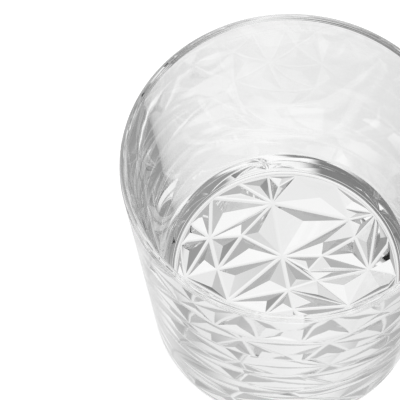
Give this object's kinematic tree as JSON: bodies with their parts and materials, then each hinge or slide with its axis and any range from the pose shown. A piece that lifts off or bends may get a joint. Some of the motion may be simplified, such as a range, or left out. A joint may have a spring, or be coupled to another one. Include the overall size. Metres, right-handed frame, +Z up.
{
  "type": "whiskey tumbler",
  "caption": "Straight-sided, slightly tapered clear glass tumbler with a thick heavy base, a smooth inside and a faceted star-cut relief pressed into its underside.",
  "frame": {"origin": "centre of the circle that the tumbler stands on, at table level", "axes": "+Z up along the tumbler's axis, from the foot to the rim; +X and +Y only fix how the star-cut underside is turned"},
  "size_m": [0.088, 0.088, 0.0853],
  "materials": {
    "clear_glass": "colourless pressed glass, fire-polished and glossy, fully transparent"
  },
  "bodies": {
    "root": {"tumbler_body": "clear_glass"}
  },
  "joints": []
}
